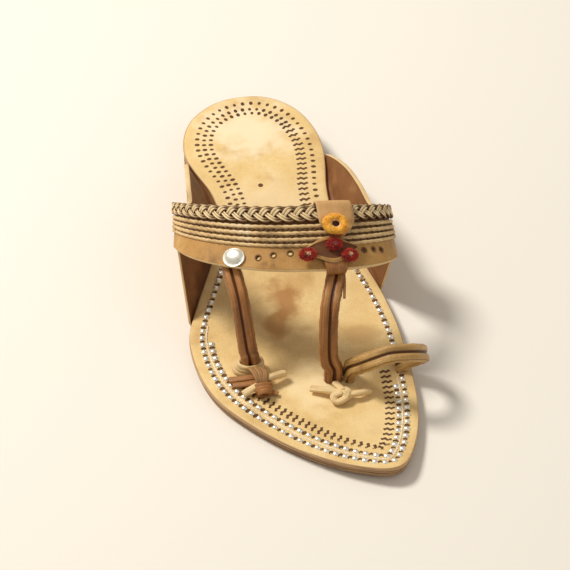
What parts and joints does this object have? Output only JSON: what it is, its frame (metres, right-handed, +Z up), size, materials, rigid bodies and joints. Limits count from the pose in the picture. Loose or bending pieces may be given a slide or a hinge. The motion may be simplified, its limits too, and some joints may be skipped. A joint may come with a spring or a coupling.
{
  "type": "kolhapuri sandal",
  "caption": "Worn-in right-foot kolhapuri sandal in tan leather with an eared instep band, plaited edge, toe straps, toe ring and wool pompoms",
  "frame": {"origin": "Centre of the bounding box on the floor the sandal stands on", "axes": "+Y along the sole towards the back of the heel, +X towards the big-toe side, +Z up"},
  "size_m": [0.1108, 0.265, 0.0745],
  "materials": {
    "sole_leather": "satin",
    "footbed_leather": "satin",
    "band_leather": "satin",
    "strap_leather": "satin",
    "thong_leather": "satin",
    "silver": "polished",
    "yellow_wool": "matte",
    "red_wool": "matte"
  },
  "bodies": {
    "root": {"outsole": "sole_leather", "heel_lift": "sole_leather", "midsole": "sole_leather", "footbed": "footbed_leather", "upper": "band_leather", "plaited_braid": "strap_leather", "strap_lateral": "strap_leather", "strap_medial": "strap_leather", "toe_ring": "strap_leather", "tie_lateral": "thong_leather", "tie_medial": "thong_leather", "stud_disc": "silver", "keeper_tab": "band_leather", "rosette": "yellow_wool", "medallion": "band_leather", "strap_fold": "strap_leather", "pompom_1": "red_wool", "pompom_2": "red_wool", "pompom_3": "red_wool"}
  },
  "joints": []
}
